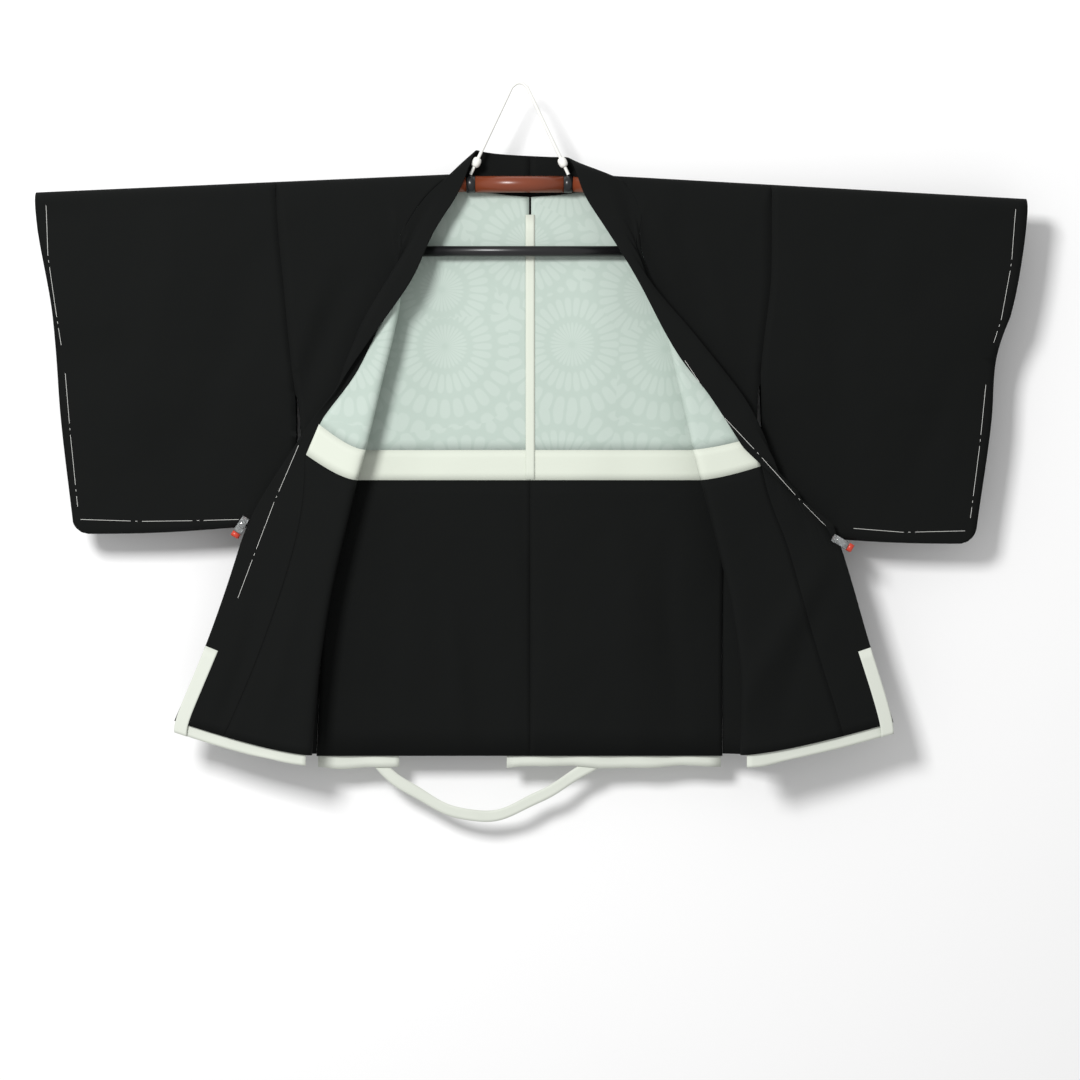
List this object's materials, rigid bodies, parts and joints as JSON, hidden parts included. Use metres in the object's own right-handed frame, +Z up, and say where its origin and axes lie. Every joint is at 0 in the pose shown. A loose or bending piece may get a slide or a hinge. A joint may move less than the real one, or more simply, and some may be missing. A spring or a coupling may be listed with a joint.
{
  "type": "haori jacket on a kimono hanger",
  "caption": "Open black haori jacket with a pale figured lining, square hanging sleeves and a turned-back collar, spread on a telescoping kimono hanger with clips.",
  "frame": {"origin": "inside of the hanging cord's top, where it lies on the hook or bar it hangs from", "axes": "+Z up, -Y out of the open front, +X to the viewer's right of the front"},
  "size_m": [1.3025, 0.0613, 0.9752],
  "materials": {
    "black_silk": "matte black silk crepe",
    "figured_lining": "pale mint figured silk",
    "lining_band": "plain off-white silk",
    "hem_strip": "whitish folded cotton strip",
    "clip_body": "clear moulded plastic",
    "clip_pad": "red-orange plastic",
    "hanger_tube": "orange-brown lacquer",
    "hanger_black": "black plastic",
    "white_cord": "twisted white cord"
  },
  "bodies": {
    "root": {"body_left": "black_silk", "body_right": "black_silk", "collar_left": "black_silk", "collar_right": "black_silk", "gusset_left": "black_silk", "gusset_right": "black_silk", "sleeve_left": "black_silk", "sleeve_right": "black_silk", "lining_left": "figured_lining", "lining_right": "figured_lining", "centre_strip": "lining_band", "band_front_left": "lining_band", "band_front_right": "lining_band", "band_back_left": "lining_band", "band_back_right": "lining_band", "hem_strip_left": "hem_strip", "hem_strip_right": "hem_strip", "hem_strip_back_left": "hem_strip", "hem_strip_back_right": "hem_strip", "edge_strip_left": "hem_strip", "edge_strip_right": "hem_strip", "hem_loop": "hem_strip", "clip_left": "clip_body", "clip_right": "clip_body", "clip_pad_left": "clip_pad", "clip_pad_right": "clip_pad", "hanger_tube": "hanger_tube", "hanger_ring_left": "hanger_black", "hanger_ring_right": "hanger_black", "hanger_arm_left": "hanger_tube", "hanger_arm_right": "hanger_tube", "hanger_cap_left": "hanger_black", "hanger_cap_right": "hanger_black", "hanger_link_left": "hanger_black", "hanger_link_right": "hanger_black", "hanger_bar": "hanger_black", "cord_knot_left": "white_cord", "cord_knot_right": "white_cord", "hanging_cord": "white_cord"}
  },
  "joints": []
}
